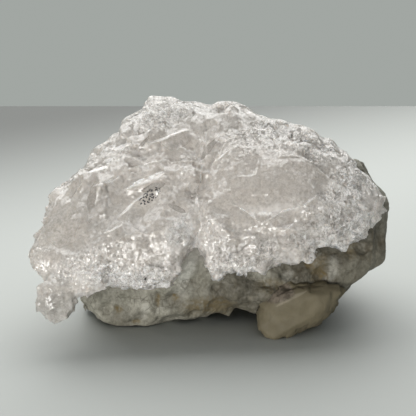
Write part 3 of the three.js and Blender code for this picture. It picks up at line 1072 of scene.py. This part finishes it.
def quartz_material():
    """Cloudy beige quartz with a waxy shine, and a crust of reddish grains on its top."""
    shader = Shader("quartz")
    waxy = shader.mix(shader.ramp(shader.noise(size=5.0, detail=5.0), 0.3, 0.7), *WAXY_QUARTZ)
    stony = shader.mix(shader.ramp(shader.noise(size=1.2, detail=5.0), 0.4, 0.6), *REDDISH_CRUST)
    crust = shader.calculate("ADD", shader.painted("crust"), shader.noise(size=2.5, detail=5.0))
    layers = [
        (shader.product(shader.painted("pale_line"), 0.5), PALE_LINE_BEIGE),
        (shader.ramp(crust, 0.7, 1.1), stony),
    ]
    shader.set_surface({
        "Base Color": shader.laid_on(waxy, layers),
        "Roughness": shader.ramp(shader.noise(size=1.5), 0.3, 0.7, 0.7, 0.85),
        "Normal": shader.bump(shader.noise(size=0.8), strength=0.4, depth=0.12),
        "IOR": 1.55,
        "Transmission Weight": 0.35,
    })
    return shader.material


# ---------------------------------------------------------------- floor, light and camera

FLOOR_WIDTH = 1600
FLOOR_DEPTH = 1000
FLOOR_BACK = 227  # how far behind the specimen's middle the table top ends
FLOOR_PALE = (0.44, 0.46, 0.445)
FLOOR_SHADED = (0.11, 0.115, 0.11)
SHADE_LEAN = -0.6  # what a step to the right counts as, against a step back, on the way into shade
SHADE_START = 50
SHADE_END = 260

ROOM_DARK = (0.03, 0.031, 0.03)
ROOM_WALL = (0.36, 0.385, 0.365)
ROOM_CEILING = (0.45, 0.46, 0.455)
# How much of a direction points back where the walls are dark and where they are pale, and how
# much of it points up where the ceiling starts and where it is in full.
WALLS_TURN = (-0.6, 0.8)
CEILING_TURN = (0.15, 0.8)

LIT_POINT = (0, 0, 20)
WINDOW = {
    "place": (-40, 290, 390),
    "size": (800, 600),
    "watts": 4.5,
    "colour": (1.0, 0.995, 0.98),
}
FILL = {
    "place": (-200, -460, 65),
    "size": (520, 150),
    "watts": 3.15,
    "colour": (1.0, 0.99, 0.97),
}

CAMERA_DISTANCE = 230.0
CAMERA_LENS = 78.6
CAMERA_SENSOR = 36
CAMERA_REACH = (10, 5000)  # the nearest and the farthest that it sees


def floor_material():
    """A pale matt table top that falls into shade towards its far left corner."""
    shader = Shader("pale_floor")
    place = shader.add("ShaderNodeSeparateXYZ")
    shader.feed(place.inputs[0], shader.add("ShaderNodeNewGeometry").outputs["Position"])
    leftward = shader.product(place.outputs["X"], SHADE_LEAN)
    far_left = shader.calculate("ADD", place.outputs["Y"], leftward)
    shade = shader.ramp(far_left, SHADE_START * MM, SHADE_END * MM)
    colour = shader.mix(shade, FLOOR_PALE, FLOOR_SHADED)
    shader.set_surface({"Base Color": colour, "Roughness": 0.7})
    return shader.material


def add_floor():
    """A pale table top whose back edge stands behind the specimen."""
    bpy.ops.mesh.primitive_plane_add(size=1)
    floor = bpy.context.object
    floor.name = "floor"
    floor.dimensions = (FLOOR_WIDTH * MM, FLOOR_DEPTH * MM, 0)
    floor.location = (0, (FLOOR_BACK - FLOOR_DEPTH / 2) * MM, 0)
    floor.data.materials.append(floor_material())


def add_area_light(name, place, size, watts, colour):
    """A rectangular lamp at a place, aimed at the specimen."""
    width, height = size
    light = bpy.data.lights.new(name, "AREA")
    light.shape = "RECTANGLE"
    light.size = width * MM
    light.size_y = height * MM
    light.energy = watts
    light.color = colour
    lamp = bpy.data.objects.new(name, light)
    lamp.location = Vector(place) * MM
    lamp.rotation_euler = (Vector(LIT_POINT) - Vector(place)).to_track_quat("-Z", "Y").to_euler()
    bpy.context.scene.collection.objects.link(lamp)
    return lamp


def light_only(lamp, pieces):
    """Lets a lamp light the pieces and nothing else."""
    lit = bpy.data.collections.new("lit_by_" + lamp.name)
    for piece in pieces:
        lit.objects.link(piece)
    lamp.light_linking.receiver_collection = lit


def add_room():
    """Light from all round: a grey wall behind, a darker room in front, and a pale ceiling."""
    world = bpy.data.worlds.new("room")
    bpy.context.scene.world = world
    world.use_nodes = True
    room = Nodes(world.node_tree)
    direction = room.add("ShaderNodeSeparateXYZ")
    room.feed(direction.inputs[0], room.add("ShaderNodeTexCoord").outputs["Generated"])
    behind = room.ramp(direction.outputs["Y"], *WALLS_TURN)
    above = room.ramp(direction.outputs["Z"], *CEILING_TURN)
    walls = room.mix(behind, ROOM_DARK, ROOM_WALL)
    colour = room.mix(above, walls, ROOM_CEILING)
    room.feed(room.tree.nodes["Background"].inputs["Color"], colour)


def add_light(stones):
    """A wide window behind, and a low fill that stays off the floor, to keep its shadow dark."""
    add_room()
    add_area_light("window", **WINDOW)
    fill = add_area_light("fill", **FILL)
    light_only(fill, stones)


def add_camera():
    camera = bpy.data.objects.new("camera", bpy.data.cameras.new("camera"))
    back = -Vector(FACE_Y)
    nearest, farthest = CAMERA_REACH
    camera.location = (FACE_CENTRE + back * CAMERA_DISTANCE) * MM
    camera.rotation_euler = (-back).to_track_quat("-Z", "Y").to_euler()
    camera.data.sensor_width = CAMERA_SENSOR
    camera.data.lens = CAMERA_LENS
    camera.data.clip_start = nearest * MM
    camera.data.clip_end = farthest * MM
    bpy.context.scene.collection.objects.link(camera)
    bpy.context.scene.camera = camera


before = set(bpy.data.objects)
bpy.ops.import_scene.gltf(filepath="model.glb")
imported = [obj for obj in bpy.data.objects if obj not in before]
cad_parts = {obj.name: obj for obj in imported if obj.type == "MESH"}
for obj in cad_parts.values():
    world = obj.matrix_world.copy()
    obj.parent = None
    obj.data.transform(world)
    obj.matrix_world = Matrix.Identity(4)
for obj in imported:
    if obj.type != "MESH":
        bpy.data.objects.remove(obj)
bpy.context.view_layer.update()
add_camera()
stones = [
    dress_crystal(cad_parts["kunzite_crystal"]),
    dress_matrix(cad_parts["feldspar_matrix"]),
    dress_nodule(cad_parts["quartz_nodule"]),
]
add_floor()
add_light(stones)
bpy.context.scene.view_settings.view_transform = "Standard"
